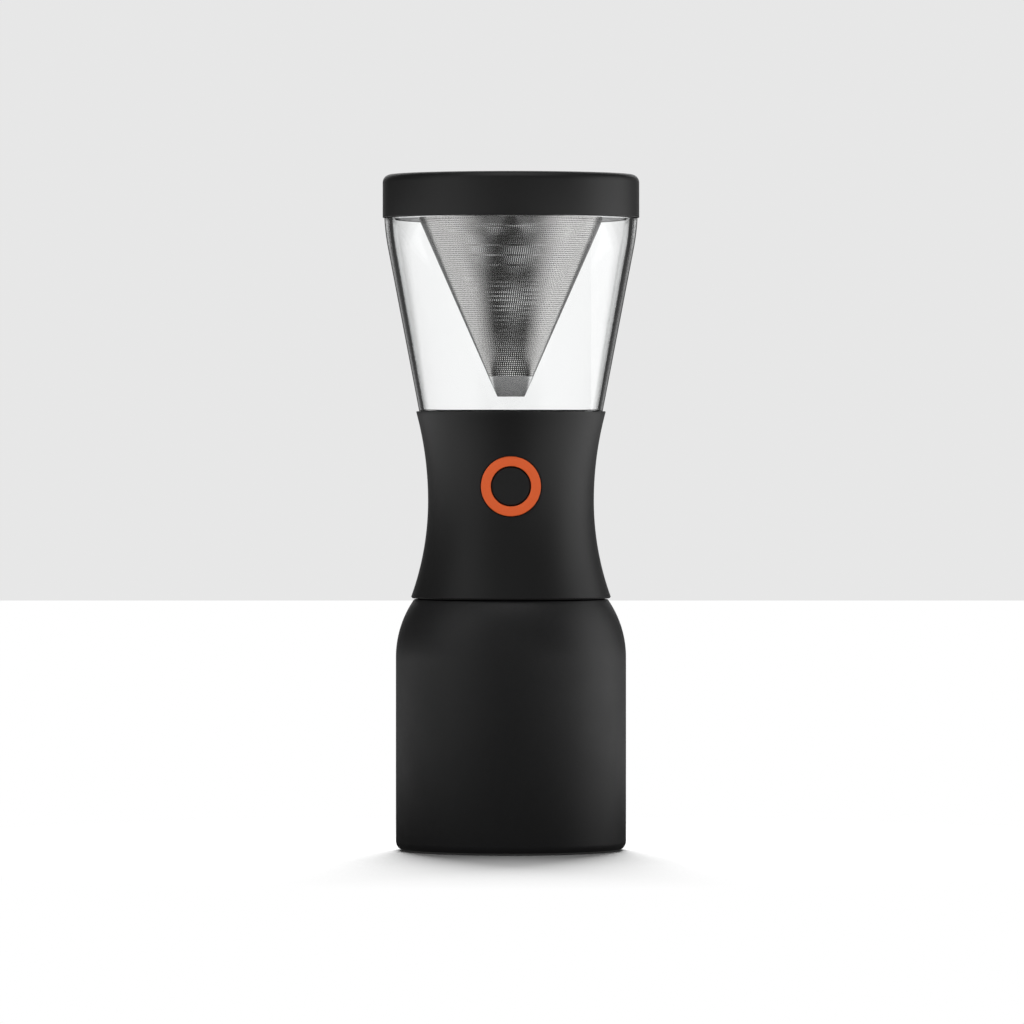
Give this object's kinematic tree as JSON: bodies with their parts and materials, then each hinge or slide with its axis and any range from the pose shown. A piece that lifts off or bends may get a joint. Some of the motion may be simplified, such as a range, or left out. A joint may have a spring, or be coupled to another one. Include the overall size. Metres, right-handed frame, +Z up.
{
  "type": "cold brew coffee maker",
  "caption": "Upright cold brew coffee maker: steel vacuum carafe, hourglass waist with a push-button valve, clear chamber, cone filter and press-on lid.",
  "frame": {"origin": "centre of the carafe's foot, on the table", "axes": "+Z up the middle of the object; the button faces -Y"},
  "size_m": [0.1308, 0.1308, 0.3445],
  "materials": {
    "soft_black": "soft-touch black",
    "black_plastic": "moulded black, satin",
    "orange_plastic": "orange, satin",
    "clear_plastic": "clear, polished",
    "powder_coat": "black powder coat, fine grain",
    "steel": "satin stainless steel",
    "polished_steel": "polished stainless steel",
    "seal": "translucent white silicone",
    "dark_seal": "black silicone"
  },
  "bodies": {
    "carafe": {"carafe_shell": "powder_coat", "shell_neck": "powder_coat", "carafe_liner": "steel", "liner_bottom": "steel", "liner_neck": "steel", "base_pan": "steel", "vacuum_seal": "steel"},
    "seal_ring": {"neck_gasket": "seal"},
    "brewer": {"screw_collar": "black_plastic", "waist_cover": "soft_black", "brew_chamber": "clear_plastic", "chamber_floor": "black_plastic", "floor_oring": "dark_seal", "drain_tube": "black_plastic", "tube_foot_flange": "black_plastic", "tube_top_flange": "black_plastic", "plunger_gland": "black_plastic", "collar_plate": "black_plastic", "stem_guide": "black_plastic", "plunger_seal": "dark_seal", "button_ring": "orange_plastic", "button_guide": "black_plastic", "floor_screws": "steel", "collar_screws": "steel", "button_spring": "steel", "valve_spring": "steel"},
    "button": {"button_cap": "soft_black", "button_plunger": "black_plastic"},
    "valve": {"valve_stem": "polished_steel", "valve_plug": "seal", "plug_nut": "polished_steel", "cross_pin": "polished_steel", "spring_washer": "steel"},
    "filter": {"filter_rim": "polished_steel", "filter_cone": "steel", "filter_tip": "polished_steel"},
    "lid": {"lid_cap": "soft_black", "lid_liner": "black_plastic", "lid_seal": "dark_seal"}
  },
  "joints": [
    {"name": "brewer_rise", "type": "slide", "parent": "carafe", "child": "seal_ring", "axis": [0, 0, 1], "range_m": [0, 0.008]},
    {"name": "brewer_unscrew", "type": "hinge", "parent": "seal_ring", "child": "brewer", "pos_m": [0, 0, 0.12], "axis": [0, 0, 1], "range_deg": [0, 360]},
    {"name": "button_press", "type": "slide", "parent": "brewer", "child": "button", "axis": [0, 1, 0], "range_m": [0, 0.004], "stiffness_N_per_m": 400, "springref_m": -0.006, "deforming": ["button_spring"]},
    {"name": "valve_lift", "type": "slide", "parent": "brewer", "child": "valve", "axis": [0, 0, 1], "range_m": [0, 0.003], "stiffness_N_per_m": 200, "springref_m": -0.004, "deforming": ["valve_spring"]},
    {"name": "filter_lift", "type": "slide", "parent": "brewer", "child": "filter", "axis": [0, 0, 1], "range_m": [0, 0.11]},
    {"name": "lid_lift", "type": "slide", "parent": "filter", "child": "lid", "axis": [0, 0, 1], "range_m": [0, 0.04]}
  ],
  "couplings": [
    {"joint": "brewer_rise", "follows": "brewer_unscrew", "m_per_rad": 0.001273},
    {"joint": "valve_lift", "follows": "button_press", "ratio": 0.75}
  ]
}
